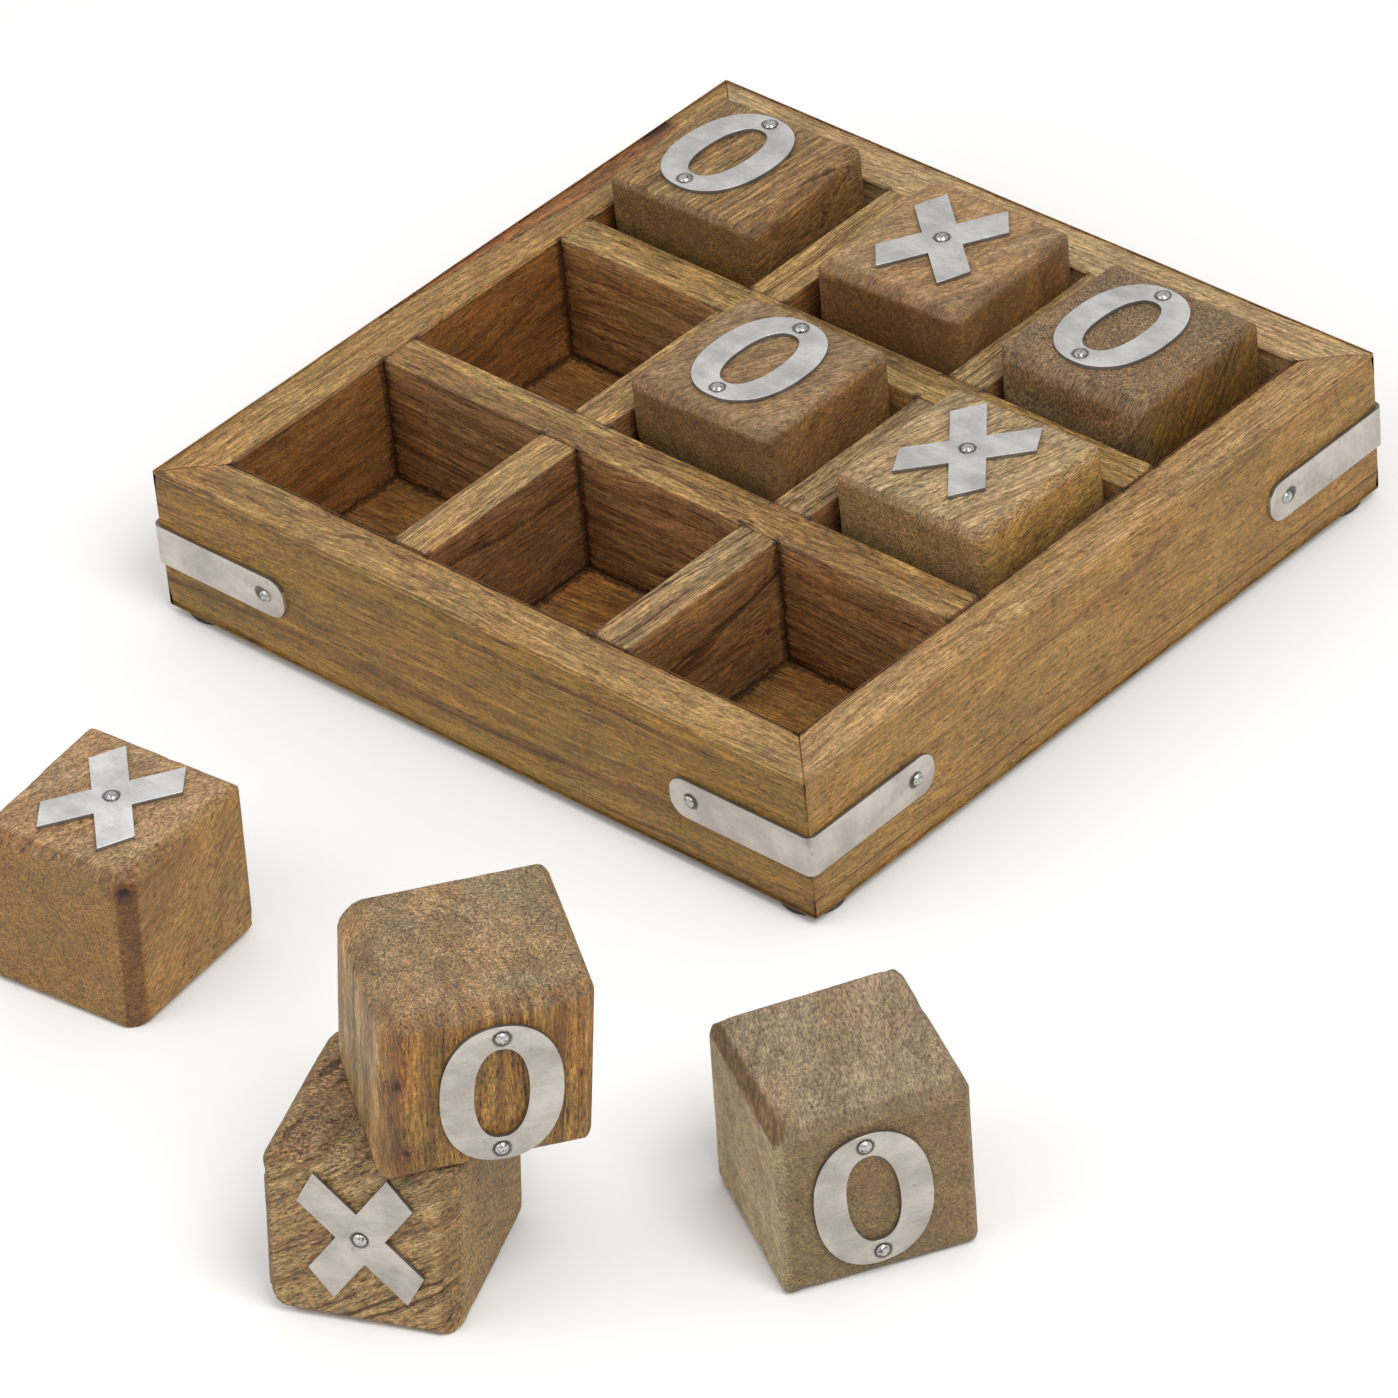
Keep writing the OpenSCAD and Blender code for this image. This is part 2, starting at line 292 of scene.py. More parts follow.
def wood_colour(g, marks, look, end, up):
    """The face's colour, painted light and shade included, with the wood's figure on it, and
    the wear of its edges.

    end is 1 where the grain is cut across, and up is 1 on level tops.
    """
    side = g.line(end, -0.75, 1.0)
    # The mesh's colour, which holds painted light and shade.
    paint = g.attribute("tone", "Color")
    streak = g.mix(marks.pale, colour(0.56, 0.46, 0.36), colour(1.18, 1.20, 1.22))
    paint = g.tint(g.times(side, look.streaks), paint, streak)
    warm, cool = colour(1.10, 0.98, 0.85), colour(0.92, 1.0, 1.03)
    paint = g.tint(look.blotches, paint, g.mix(g.band(marks.cloud, 0.36, 0.64), warm, cool))

    contrast = g.line(up, 0.30 * look.fibres, look.fibres)
    fibre_swing = g.swing(marks.fibre, g.times(contrast, 0.50))
    fine_swing = g.swing(marks.fine, g.times(contrast, 0.66))
    shade = g.times(fibre_swing, fine_swing)
    shade = g.times(shade, g.swing(g.band(marks.grime, 0.36, 0.64), 0.32))
    shade = g.times(shade, g.swing(g.band(marks.stain, 0.32, 0.68), 0.56 * look.blotches))
    dust = g.times(g.math("SUBTRACT", marks.grit, 0.5), g.line(end, 0.26, 0.30))
    shade = g.times(shade, g.math("ADD", dust, 1.0))
    paint = g.tint(1.0, paint, g.grey(shade))

    dark_marks = (
        (g.times(marks.thin, side), look.lines, (0.34, 0.24, 0.16)),
        (marks.fleck, look.flecks, (0.38, 0.28, 0.19)),
        (marks.pore, look.pores, (0.30, 0.21, 0.15)),
    )
    for mark, strength, brown in dark_marks:
        paint = g.tint(g.times(mark, strength), paint, colour(*brown))
    edge = g.attribute("edge", "Fac")
    worn = g.times(edge, g.band(g.line(edge, 0.5, marks.grime), 0.45, 0.85))
    return g.tint(worn, paint, colour(0.52, 0.41, 0.31))


def add_knots(g, paint, knots, marks):
    """Paints each (place, radius in mm, darkness): a black heart in a reddish halo."""
    for spot, radius, darkness in knots:
        off = g.vector("SUBTRACT", g.millimetres(), Vector(spot) / MM)
        off = g.vector("ADD", off, g.scaled(marks.sway, (0.12, 0.12, 0.12)))
        far = g.ragged(g.length(off), marks.stain, radius)
        far = g.ragged(far, marks.grime, radius)
        halo = g.invert(g.band(far, radius * 0.6, radius * 1.8))
        heart = g.invert(g.band(far, radius * 0.15, radius * 0.75))
        paint = g.tint(g.times(halo, 0.7 * darkness), paint, colour(0.80, 0.48, 0.32))
        paint = g.tint(g.times(heart, darkness), paint, colour(0.16, 0.10, 0.08))
    return paint


def wood(name, centre, grain, seed, knots=(), seam_shade=False, crack=None, bark=None, **look):
    """Open-grained brown hardwood with its grain along the given direction.

    The mesh brings each face's colour, painted light and shade included, as "tone" and the wear
    of edges as "edge". knots are as in add_knots, seams paints shade along the tray's inner
    corners, crack is the height of a long split in mm, bark is (start, widest) of bark_strip,
    and look changes WOOD.
    """
    g = Graph(name)
    look = SimpleNamespace(**{**WOOD, **look})
    along = Vector(grain).normalized()
    across = along.orthogonal().normalized()
    turn = Matrix((along, across, along.cross(across))).transposed().to_euler()
    marks = wood_figure(g, g.millimetres(centre, turn), seed, look)
    facing = g.node("NewGeometry").outputs["Normal"]
    end = g.size(g.vector("DOT_PRODUCT", facing, along, "Value"))
    end, up = (g.band(value, 0.5, 0.9) for value in (end, g.split(facing)[2]))

    paint = wood_colour(g, marks, look, end, up)
    paint = add_knots(g, paint, knots, marks)
    # This sum holds the painted shade of the inner corners and the dark splits, and it also
    # sinks the bump there.
    darkening = 0.0
    if seam_shade:
        darkening = inner_seam_shade(g, marks.grime)
        # Painted shade in the tray's inner corners.
        paint = g.tint(g.times(darkening, 0.85), paint, colour(0.26, 0.21, 0.16))
    if crack is not None:
        split = long_split(g, crack, marks.grime)
        paint = g.tint(g.times(split, 0.75), paint, colour(0.26, 0.17, 0.11))
        darkening = g.math("ADD", darkening, split)
    if bark is not None:
        strip, split = bark_strip(g, *bark, marks)
        paint = g.tint(g.times(strip, 0.85), paint, colour(0.74, 0.46, 0.30))
        paint = g.tint(g.times(split, 0.85), paint, colour(0.16, 0.12, 0.10))
        darkening = g.math("ADD", darkening, split)

    height = g.times(marks.fibre, 0.35)
    rises = (
        (marks.fine, 0.22), (marks.grit, 0.12), (marks.grime, 0.25),
        (marks.pore, -0.9 * look.pores), (marks.fleck, -0.5 * look.flecks),
        (marks.thin, -0.4 * look.lines), (darkening, -0.8),
    )
    for mark, rise in rises:
        height = g.line(mark, rise, height)
    rough = g.line(marks.fibre, 0.10, 0.50)
    rough = g.line(marks.pore, 0.2, rough)
    rough = g.line(marks.cloud, 0.1, rough)
    return g.finish(height, 0.18, 0.6, Base_Color=paint, Roughness=rough)


def inner_seam_shade(g, grime):
    """1 along the inner corners of the tray's cells and around their floors, with gaps, where
    shade is painted.
    """
    low, high = tray_box
    centre = ((low[0] + high[0]) / 2, (low[1] + high[1]) / 2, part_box("base_panel")[1][2])
    place = g.split(g.millimetres(centre))
    rail = (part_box("rail_front")[1][1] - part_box("rail_front")[0][1]) / MM
    inside = (high[0] - low[0]) / MM / 2 - rail
    divider = (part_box("long_divider_front")[1][1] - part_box("long_divider_front")[0][1]) / MM
    cell = (2 * inside - 2 * divider) / 3
    away = []
    for axis in (0, 1):
        span = g.size(place[axis])
        nearest = None
        for wall in (cell / 2, cell / 2 + divider, inside):
            gap = g.size(g.math("SUBTRACT", span, wall))
            nearest = gap if nearest is None else g.math("MINIMUM", nearest, gap)
        away.append(nearest)
    least, most = g.math("MINIMUM", *away), g.math("MAXIMUM", *away)
    # A seam is where two of the walls and the floor are near.
    second = g.math("MAXIMUM", least, g.math("MINIMUM", most, g.size(place[2])))
    reach = g.line(grime, -4.0, 3.3)
    seam = g.invert(g.band(g.math("SUBTRACT", second, reach), -0.9, 0.35))
    farthest = g.math("MAXIMUM", g.size(place[0]), g.size(place[1]))
    return g.times(seam, g.math("LESS_THAN", farthest, inside + 1.0))


def long_split(g, height, grime):
    """1 along a thin split that runs level at that height, in mm, and fades in and out."""
    place = g.millimetres()
    z = g.split(place)[2]
    drift = g.noise(place, (0.02, 0.02, 0.0))
    off = g.ragged(g.math("SUBTRACT", z, height), drift, 2.2)
    thin = g.invert(g.band(g.size(off), 0.12, 0.42))
    seen = g.band(g.math("ADD", drift, g.times(grime, 0.3)), 0.44, 0.58)
    return g.times(thin, seen)


def bark_strip(g, start, widest, marks):
    """(strip, split): a reddish strip along the left rail's outer top edge, and its cracks.

    start is a share of the rail's length, from the front, and widest is in millimetres.
    """
    low, high = tray_box
    place = g.split(g.millimetres((low[0], low[1], high[2])))
    length = (high[1] - low[1]) / MM
    share = g.band(place[1], start * length, 0.78 * length)
    edge = g.ragged(g.times(share, widest), marks.stain, 3.0)
    inset = g.math("SUBTRACT", place[0], edge)
    ended = g.band(place[1], 0.88 * length, 0.90 * length)
    began = g.times(g.band(share, 0.02, 0.10), g.invert(ended))
    strip = g.times(began, g.invert(g.band(inset, -0.5, 0.4)))
    border = g.invert(g.band(g.size(inset), 0.15, 0.55))
    border = g.times(border, g.band(marks.grime, 0.42, 0.58))
    wedge = g.band(place[1], 0.82 * length, 0.86 * length)
    wedge = g.times(wedge, g.invert(g.band(place[0], 2.0, 4.5)))
    split = g.times(began, g.math("MAXIMUM", border, wedge))
    near_top = g.band(g.ragged(place[2], marks.stain, 5.0), -4.5, -3.5)
    return g.times(strip, near_top), g.times(split, near_top)


def sheet_metal(name, centre, turn, seed, nails, tint):
    """Matt grey sheet, cut by hand: darker on its cut edges, and with a ring of painted shadow
    around each nail.

    turn gives the sheet's own axes, and nails are the places of the nails' heads.
    """
    g = Graph(name)
    place = g.millimetres(centre, turn)
    own = g.vector("ADD", place, (seed * 31.7, seed * 17.9, seed * 5.3))
    rolled = g.noise(own, (0.12, 2.6, 2.6), 3.0, 0.6)
    cloud = g.noise(own, (0.10, 0.14, 0.12), 3.0, 0.6)
    speck = g.noise(own, (1.6, 1.5, 1.7), 3.0, 0.7)
    spot = g.band(g.noise(own, (0.55, 0.6, 0.5)), 0.66, 0.74)
    shade = g.times(g.swing(rolled, 0.24), g.swing(g.band(cloud, 0.25, 0.75), 0.42))
    shade = g.times(shade, g.swing(speck, 0.30))
    shade = g.times(shade, g.line(spot, -0.16, 1.0))
    shade = g.times(shade, g.line(g.attribute("edge", "Fac"), -0.62, 1.0))
    dent = 0.0
    for nail in nails:
        # A ring of painted shadow round each nail's head, set a little off centre, which also
        # dents the bump.
        off = g.vector("SUBTRACT", g.millimetres(), nail / MM)
        off = g.vector("ADD", off, (0.25, -0.2, 0.1))
        far = g.line(speck, 0.6, g.length(off))
        nail_shadow_ring = g.invert(g.band(far, 1.85, 2.45))
        shade = g.times(shade, g.line(nail_shadow_ring, -0.78, 1.0))
        dent = g.line(nail_shadow_ring, -2.0, dent)
    paint = g.tint(1.0, g.grey(shade), colour(*tint))
    rough = g.line(cloud, 0.16, 0.30)
    rough = g.line(spot, 0.12, rough)
    height = g.line(cloud, 1.2, g.times(rolled, 0.15))
    height = g.line(speck, 0.16, height)
    height = g.math("ADD", height, dent)
    return g.finish(height, 0.10, 0.6, Base_Color=paint, Roughness=rough, Metallic=0.72)


def nail_steel(name):
    """Bright steel wire nails, hammered: small bruises with dark dirt in them."""
    g = Graph(name)
    place = g.millimetres()
    bruise = g.noise(place, (1.3, 1.2, 1.25), 2.0, 0.6)
    speck = g.noise(place, (4.5, 4.1, 4.3), 3.0, 0.7)
    darkening = g.band(g.noise(place, (1.9, 1.7, 1.8), 3.0, 0.6), 0.50, 0.66)
    paint = g.mix(darkening, colour(0.52, 0.51, 0.49), colour(0.10, 0.09, 0.08))
    paint = g.mix(g.band(speck, 0.55, 0.7), paint, colour(0.42, 0.40, 0.38))
    rough = g.line(speck, 0.25, 0.12)
    height = g.line(bruise, 1.5, g.times(speck, 0.2))
    return g.finish(height, 0.12, 0.7, Base_Color=paint, Roughness=rough, Metallic=0.9)


def foot_rubber(name):
    """Dark brown rubbery pads, dusty and pitted."""
    g = Graph(name)
    place = g.millimetres()
    pit = g.noise(place, (2.2, 2.0, 2.4), 3.0, 0.7)
    dust = g.band(g.noise(place, (0.3, 0.35, 0.5), 3.0, 0.6), 0.4, 0.7)
    paint = g.mix(dust, colour(0.030, 0.022, 0.017), colour(0.085, 0.068, 0.052))
    rough = g.line(pit, 0.25, 0.62)
    return g.finish(pit, 0.15, 0.7, Base_Color=paint, Roughness=rough)


def studio_floor(name):
    """Matt white paper, very slightly uneven."""
    g = Graph(name)
    cloud = g.noise(g.millimetres(), (0.004, 0.004, 0.004))
    paint = g.mix(cloud, colour(0.90, 0.90, 0.895), colour(0.93, 0.93, 0.925))
    return g.finish(cloud, 0.02, 0.1, Base_Color=paint, Roughness=0.8)


# ---- Meshes ----


def new_piece(node, mesh, material):
    """Puts a remade mesh in place of a CAD node."""
    piece = bpy.data.objects.new("worn_" + node, mesh)
    bpy.context.scene.collection.objects.link(piece)
    mesh.materials.clear()
    mesh.materials.append(material)
    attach(piece, BODY_OF[node])
    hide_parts(node)


def paint_points(mesh, shaded_tones, edges):
    """Stores each vertex's colour, painted light and shade included, and wear."""
    tone = mesh.color_attributes.new("tone", "FLOAT_COLOR", "POINT")
    rgba = np.concatenate([np.asarray(shaded_tones), np.ones((len(shaded_tones), 1))], axis=1)
    tone.data.foreach_set("color", rgba.astype(np.float32).ravel())
    edge = mesh.attributes.new("edge", "FLOAT", "POINT")
    edge.data.foreach_set("value", np.asarray(edges, dtype=np.float32))


def smooth_mesh(node, points, quads, shaded_tones, edges, sharp=None):
    """A painted mesh for a node, with edges beyond sharp degrees kept crisp."""
    mesh = bpy.data.meshes.new("worn_" + node)
    mesh.from_pydata(points, [], quads)
    mesh.update()
    mesh.shade_smooth()
    if sharp is not None:
        mesh.set_sharp_from_angle(angle=math.radians(sharp))
    paint_points(mesh, shaded_tones, edges)
    return mesh


def corners_of(box):
    """A box's lowest and highest corner as vectors."""
    return [Vector(corner) for corner in box]


def middle(node):
    low, high = corners_of(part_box(node))
    return (low + high) / 2


def total(vectors):
    return sum(vectors, Vector((0, 0, 0)))


def main_planes(node):
    """The six main faces of a block's CAD mesh, as {name: (normal, distance from middle)}."""
    centre = middle(node)
    groups = []
    for face in sorted(NODES[node].data.polygons, key=lambda face: -face.area):
        for group in groups:
            if group[0].dot(face.normal) > 0.9999:
                group[1] += face.area
                break
        else:
            groups.append([face.normal.copy(), face.area, face.center.copy()])
    faces = sorted(groups, key=lambda group: -group[1])[:6]
    planes = [(normal, normal.dot(point - centre)) for normal, _, point in faces]
    top = max(planes, key=lambda plane: plane[0].z)
    bottom = min(planes, key=lambda plane: plane[0].z)
    sides = [plane for plane in planes if plane not in (top, bottom)]
    # The front is the side that looks nearest to between the tray's front and right.
    front = max(sides, key=lambda plane: 0.6 * plane[0].x - 0.8 * plane[0].y)
    back = min(sides, key=lambda plane: plane[0].dot(front[0]))
    left, right = sorted(
        [plane for plane in sides if plane not in (front, back)],
        key=lambda plane: front[0].cross(plane[0]).z,
    )
    return dict(top=top, bottom=bottom, front=front, back=back, left=left, right=right)


OPPOSITES = (
    frozenset(("top", "bottom")), frozenset(("front", "back")), frozenset(("left", "right")),
)
CHAMFER = 1.4  # usual width of a block's sanded edges, in mm
SOFTNESS = 230  # a higher number leaves crisper edges between a block's planes
TONE_BY_EDGE = 0.47  # of each of the two faces that an edge lies between
TONE_BY_CORNER = 0.31  # of each of its three faces
CORNER_WEAR = 0.5
DENTS = 5
GRID = 30  # quads along each side of a block
CROWDING = 0.36  # how much closer together they are near its edges


def block_planes(node, rng, shaded_tones, wide):
    """(normal, reach, colour, wear) of a block's faces and of its sanded edges and corners.

    wide names edges that are cut deeper or dirtier: (face, face, width in mm, wear).
    """
    faces = {face: (np.array(normal), d) for face, (normal, d) in main_planes(node).items()}
    mean = sum(linear(tone) for tone in shaded_tones.values()) / len(shaded_tones)
    tone_of = {face: linear(shaded_tones[face]) if face in shaded_tones else mean for face in faces}
    planes = [(normal, d, tone_of[face], 0.0) for face, (normal, d) in faces.items()]
    special = {frozenset(entry[:2]): entry[2:] for entry in wide}

    def meet(chosen):
        """The point where planes meet, at mid-length along directions left open."""
        normals = np.array([faces[face][0] for face in chosen])
        reaches = np.array([faces[face][1] for face in chosen])
        return np.linalg.lstsq(normals, reaches, rcond=None)[0]

    cuts = {}
    for pair in combinations(faces, 2):
        if frozenset(pair) in OPPOSITES:
            continue
        usual = (CHAMFER * rng.uniform(0.72, 1.25), rng.uniform(0.1, 0.45))
        width, wear = special.get(frozenset(pair), usual)
        cuts[frozenset(pair)] = width
        a, b = (faces[face][0] for face in pair)
        run = np.cross(a, b) * rng.uniform(-0.03, 0.03)
        normal = a * rng.uniform(0.92, 1.08) + b * rng.uniform(0.92, 1.08) + run
        normal /= np.linalg.norm(normal)
        reach = normal @ meet(pair) - width * MM / math.sqrt(2)
        tone = (tone_of[pair[0]] + tone_of[pair[1]]) * TONE_BY_EDGE
        planes.append((normal, reach, tone, wear))
    for corner in product(("top", "bottom"), ("front", "back"), ("right", "left")):
        width = sum(cuts[frozenset(pair)] for pair in combinations(corner, 2)) / 3
        normal = sum(faces[face][0] * rng.uniform(0.9, 1.1) for face in corner)
        normal /= np.linalg.norm(normal)
        reach = normal @ meet(corner) - width * MM * rng.uniform(0.84, 0.98)
        tone = sum(tone_of[face] for face in corner) * TONE_BY_CORNER
        planes.append((normal, reach, tone, CORNER_WEAR))
    return faces, planes


def cube_skin():
    """Grid points on a cube's skin, from -1 to 1, and quads that face outwards."""
    even = np.linspace(-1, 1, GRID + 1)
    lines = even * (1 + CROWDING - CROWDING * even**2)
    index, quads = {}, []
    for axis, end, i, j in product(range(3), (0, GRID), range(GRID), range(GRID)):
        ring = []
        for di, dj in ((0, 0), (1, 0), (1, 1), (0, 1)):
            key = [0, 0, 0]
            key[axis] = end
            key[(axis + 1) % 3] = i + di
            key[(axis + 2) % 3] = j + dj
            ring.append(index.setdefault(tuple(key), len(index)))
        quads.append(ring if end else ring[::-1])
    return np.array([[lines[k] for k in key] for key in index]), quads


def sanded_block(node, seed, shaded_tones, wide):
    """A sawn block with hand-sanded edges, as a mesh of one closed skin.

    Soft edges come from a high norm of the planes' reaches in place of their maximum.
    """
    rng = random.Random(seed)
    centre = middle(node)
    faces, planes = block_planes(node, rng, shaded_tones, wide)
    normals, reaches, plane_tones, plane_wear = (np.array(rows) for rows in zip(*planes))

    # Directions from the middle run through a grid on the block's own six faces.
    axes = []
    for face, one, other in (
        ("right", "back", "top"), ("back", "top", "right"), ("top", "right", "back"),
    ):
        edge = np.cross(faces[one][0], faces[other][0])
        axes.append(edge * faces[face][1] / (edge @ faces[face][0]))
    spots, quads = cube_skin()
    rays = spots @ np.array(axes)
    shares = np.maximum(rays @ normals.T / reaches, 0) ** SOFTNESS
    sums = shares.sum(axis=1)
    skin = rays / sums[:, None] ** (1 / SOFTNESS)
    weights = shares / sums[:, None]
    wear = weights @ plane_wear
    outward = weights @ normals
    outward /= np.linalg.norm(outward, axis=1)[:, None]

    # Saw and sanding marks only go inwards, so that the plates stay flush.
    for i, spot in enumerate(skin):
        where = Vector(spot) / MM
        coarse = noise.noise(where * 0.09 + Vector((seed * 5.1, 0, 0)))
        small = noise.noise(where * 0.33 + Vector((0, seed * 3.3, 0)))
        depth = 0.07 * abs(coarse) + 0.04 * abs(small)
        depth = depth + wear[i] * 0.35 * max(0, coarse + small)
        skin[i] -= outward[i] * depth * MM
    worn_spots = [i for i in range(len(skin)) if wear[i] > 0.15]
    for _ in range(DENTS):
        hit = skin[rng.choice(worn_spots)].copy()
        size = rng.uniform(0.7, 1.6) * MM
        away = np.linalg.norm(skin - hit, axis=1)
        dip = np.exp(-((away / size) ** 2)) * rng.uniform(0.2, 0.5) * MM
        skin -= outward * dip[:, None]
    points = [tuple(spot + np.array(centre)) for spot in skin]
    return smooth_mesh(node, points, quads, weights @ plane_tones, wear)


RAIL_EDGE = 0.55 * MM  # radius of a rail's long edges
TRAY_CORNER = 1.0 * MM  # radius of the tray's upright corners
NEAR_MITRE = [0, 0.12, 0.3, 0.55, 0.85, 1.2, 1.8, 3]  # rows of points there, in mm from it
ROWS_BETWEEN = 44
GROOVE_DEPTH, GROOVE_HALF = 0.22 * MM, 0.4 * MM  # the open joint at a mitre


def rail_section(width, bottom, top, ledge, step):
    """A rail's outline as (distance from outside, z, role, wear), with a rebate below."""
    section = []

    def turned_corner(u, z, du, dz, role_in, role_out):
        """Points round a section corner whose inside lies towards du, dz."""
        for share in (0.0, 0.3, 0.7, 1.0):
            angle = share * math.pi / 2
            a = RAIL_EDGE * (1 - math.sin(angle))
            b = RAIL_EDGE * (1 - math.cos(angle))
            if (du > 0) == (dz > 0):
                a, b = b, a
            role = role_in if share < 0.5 else role_out
            section.append((u + du * a, z + dz * b, role, 1.0 if 0 < share < 1 else 0.4))

    turned_corner(0, bottom, 1, 1, "under", "out")
    section.extend((0, bottom + (top - bottom) * k / 6, "out", 0.0) for k in range(1, 6))
    turned_corner(0, top, 1, -1, "out", "top")
    section.extend((width * k / 4, top, "top", 0.0) for k in range(1, 4))
    turned_corner(width, top, -1, -1, "top", "in")
    section.extend((width, top - (top - step) * k / 5, "in", 0.0) for k in range(1, 5))
    section.append((width, step, "in", 0.0))
    section.append((ledge, step, "in", 0.0))
    section.append((ledge, bottom, "under", 0.3))
    return section


def rail_mesh(node, quarter, shaded_tones, seed):
    """A mitred rail with soft edges, running round the tray's front side and then turned.

    Each corner of its section runs from mitre to mitre, so both ends are cut at 45 degrees.
    """
    low, high = corners_of(tray_box)
    half = (high.x - low.x) / 2
    centre = (low + high) / 2
    rail_low, rail_high = corners_of(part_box("rail_front"))
    base_low, base_high = corners_of(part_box("base_panel"))
    step = base_high.z
    section = rail_section(
        rail_high.y - rail_low.y, rail_low.z, rail_high.z, base_low.y - rail_low.y, step
    )
    run = [half - n * MM for n in NEAR_MITRE]
    between = [run[-1] * (1 - 2 * k / ROWS_BETWEEN) for k in range(1, ROWS_BETWEEN)]
    along = run + between + [-r for r in reversed(run)]

    tone_table = {role: linear(shaded_tones[role]) for role in ("out", "top", "in")}
    # The underside is painted darker than the outside: painted shade under the rail.
    tone_table["under"] = tone_table["out"] * 0.8
    points, colours, wear = [], [], []
    for x in along:
        share = x / half
        gap = half - abs(x)
        groove = GROOVE_DEPTH * max(0.0, 1 - gap / GROOVE_HALF) ** 2
        for u, z, role, edge in section:
            px, pu = share * (half - u), u
            where = Vector((px, pu, z)) / MM + Vector((seed * 91.0, seed * 7.0, 0))
            # A long wave and a short one, in mm.
            wave = noise.noise(where * Vector((0.035, 0.05, 0.05))) * 0.16
            wave += noise.noise(where * 0.22) * 0.05
            if (role == "top" or edge) and z > step:
                z = z + (wave * MM - groove)
            if role == "out" or u < 2 * RAIL_EDGE:
                pu = pu + max(0.0, wave) * 0.5 * MM + groove
            a, b = half - abs(px), pu
            if a < TRAY_CORNER and b < TRAY_CORNER:
                off = Vector((TRAY_CORNER - a, TRAY_CORNER - b))
                if off.length > TRAY_CORNER:
                    off = off.normalized() * TRAY_CORNER
                    px = math.copysign(half - (TRAY_CORNER - off.x), px)
                    pu = TRAY_CORNER - off.y
            points.append(Vector((px, pu - half, z)))
            colours.append(tone_table[role])
            wear.append(min(1.0, edge * 0.3 + (0.9 if gap < 0.2 * MM else 0)))

    size = len(section)
    quads = []
    for i, j in product(range(len(along) - 1), range(size)):
        k = (j + 1) % size
        quads.append((i * size + j, i * size + k, (i + 1) * size + k, (i + 1) * size + j))
    quads.append(tuple(reversed(range(size))))
    quads.append(tuple((len(along) - 1) * size + j for j in range(size)))
    spin = Matrix.Rotation(quarter * math.pi / 2, 3, "Z")
    shift = Vector((centre.x, centre.y, 0))
    points = [spin @ spot + shift for spot in points]
    return smooth_mesh(node, points, quads, colours, wear, sharp=50)


def welded(node):
    """A CAD node's mesh for editing, with its split corners joined."""
    work = bmesh.new()
    work.from_mesh(NODES[node].data)
    bmesh.ops.remove_doubles(work, verts=work.verts, dist=2e-6)
    return work


def edited_mesh(node, work, sharp):
    """The edited mesh for a node, with edges beyond sharp degrees kept crisp."""
    mesh = bpy.data.meshes.new("worn_" + node)
    work.to_mesh(mesh)
    work.free()
    mesh.shade_smooth()
    mesh.set_sharp_from_angle(angle=math.radians(sharp))
    return mesh


def softened(node, width, segments, step=None, wobble=0.0, seed=0, sharp=28):
    """A copy of a CAD node's mesh whose edges beyond sharp degrees are rounded.

    width is the rounding's, in mm. step is how far apart the mesh is sliced, and wobble
    is how deep it is uneven, both in mm.
    """
    work = welded(node)
    bmesh.ops.dissolve_limit(
        work, angle_limit=math.radians(0.5), verts=work.verts, edges=work.edges
    )
    hard = [
        edge for edge in work.edges
        if len(edge.link_faces) == 2 and edge.calc_face_angle(0) > math.radians(sharp)
    ]
    bmesh.ops.bevel(
        work, geom=hard, offset=width * MM, segments=segments, profile=0.5,
        affect="EDGES", clamp_overlap=True,
    )
    if step:
        low, high = corners_of(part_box(node))
        for axis in range(3):
            normal = Vector([1.0 if k == axis else 0.0 for k in range(3)])
            count = int((high[axis] - low[axis]) / (step * MM))
            for k in range(1, count):
                bmesh.ops.bisect_plane(
                    work, geom=work.verts[:] + work.edges[:] + work.faces[:],
                    plane_co=low + (high - low) * (k / count), plane_no=normal, dist=1e-7,
                )
    work.normal_update()
    if wobble:
        for vert in work.verts:
            where = vert.co / MM + Vector((seed * 17.0, 0, 0))
            wave = noise.noise(where * 0.06) + 0.4 * noise.noise(where * 0.25)
            vert.co -= vert.normal * abs(wave) * wobble * MM
    return edited_mesh(node, work, 40)


def paint_shaded_by_normal(mesh, shaded_tones):
    """Gives the top one colour and the sides another, which paints light on the tops and shade
    on the sides, with worn edges where they meet.
    """
    normals = np.array([vert.normal for vert in mesh.vertices])
    up = np.clip(normals[:, 2], 0, 1)[:, None] ** 2
    tone = linear(shaded_tones["top"]) * up + linear(shaded_tones["side"]) * (1 - up)
    biggest = np.abs(normals).max(axis=1)
    paint_points(mesh, tone, np.clip((1 - biggest) * 2.2, 0, 0.7))


def sheet_mesh(node, is_cut):
    """A metal sheet with eased edges. is_cut says from a face's normal if it is a cut edge."""
    mesh = softened(node, width=0.14, segments=2, sharp=30)
    edge = mesh.attributes.new("edge", "FLOAT", "FACE")
    edge.data.foreach_set("value", [float(is_cut(face.normal)) for face in mesh.polygons])
    return mesh


def separate_solids(node):
    """The points of each separate solid in a node's mesh."""
    work = welded(node)
    seen, solids = set(), []
    for start in work.verts:
        if start in seen:
            continue
        seen.add(start)
        stack, solid = [start], []
        while stack:
            vert = stack.pop()
            solid.append(vert.co.copy())
            for edge in vert.link_edges:
                near = edge.other_vert(vert)
                if near not in seen:
                    seen.add(near)
                    stack.append(near)
        solids.append(solid)
    work.free()
    return solids


def nail_mesh(node, seed):
    """Hammered nails, each a little uneven."""
    work = welded(node)
    work.normal_update()
    for vert in work.verts:
        where = vert.co / MM
        wave = noise.noise(where * 0.8 + Vector((seed * 3.0, 0, 0)))
        wave += 0.5 * noise.noise(where * 2.1)
        vert.co += vert.normal * wave * 0.05 * MM
    return edited_mesh(node, work, 50)


# ---- Pieces ----

